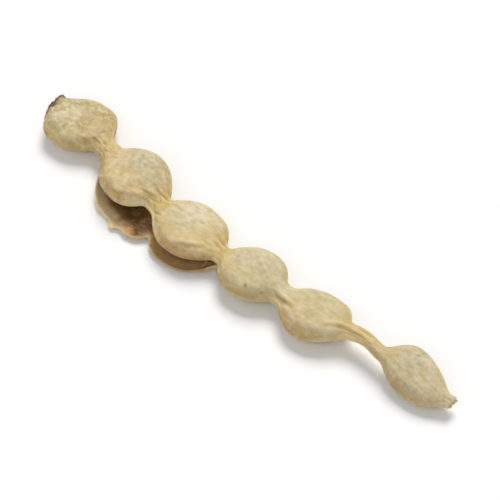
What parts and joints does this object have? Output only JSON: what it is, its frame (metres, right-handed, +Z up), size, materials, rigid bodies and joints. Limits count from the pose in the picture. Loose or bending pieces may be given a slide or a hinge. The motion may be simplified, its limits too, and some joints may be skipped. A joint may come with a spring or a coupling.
{
  "type": "dry babul pod",
  "caption": "Dry flat seed pod shaped like a string of beads: domed disc lobes on narrow necks, valves parted along one edge, seeds inside, lying flat.",
  "frame": {"origin": "middle of the pod's outline seen from above, on the surface it lies on", "axes": "+X from the dark broken end towards the long neck and the pale frayed tip, -Y towards the edge where the valves have parted, +Z up"},
  "size_m": [0.1122, 0.021, 0.0073],
  "materials": {
    "pod_skin": "dry, matt and finely velvety skin, straw to grey-tan, ochre at the necks",
    "seed_coat": "smooth hard seed coat, dark brown, satin"
  },
  "bodies": {
    "root": {"pod": "pod_skin", "seed_lobe_2": "seed_coat", "seed_lobe_3": "seed_coat"}
  },
  "joints": []
}
